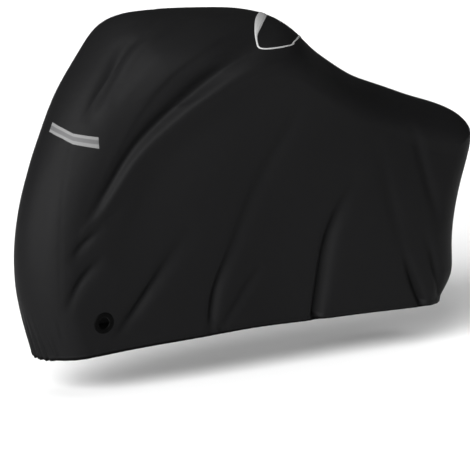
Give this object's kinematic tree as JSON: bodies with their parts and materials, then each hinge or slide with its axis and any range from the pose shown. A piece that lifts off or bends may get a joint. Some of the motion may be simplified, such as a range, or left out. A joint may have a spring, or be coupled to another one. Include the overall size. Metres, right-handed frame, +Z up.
{
  "type": "fitted bike cover",
  "caption": "Fitted coated-cloth cover hanging over an upright bike, hollow and open below, with lock eyelets low at the front and reflective strips.",
  "frame": {"origin": "underside of the ridge over the handlebar stem, where the covered bike holds the cloth up", "axes": "+Z up, -X towards the front of the bike, -Y towards its left side"},
  "size_m": [1.8504, 0.6613, 1.1273],
  "materials": {
    "cloth": "matte coated polyester",
    "flap_cloth": "matte coated polyester",
    "tape": "grey reflective tape",
    "edging": "pale reflective tape",
    "eyelet": "black moulded plastic"
  },
  "bodies": {
    "root": {"front_panel": "cloth", "side_panel_left": "cloth", "side_panel_right": "cloth", "lock_strip_left": "cloth", "lock_strip_right": "cloth", "lock_eyelet_left": "eyelet", "lock_eyelet_right": "eyelet", "corner_strip_left": "tape", "corner_strip_right": "tape", "top_flap": "flap_cloth", "flap_trim": "edging"}
  },
  "joints": []
}
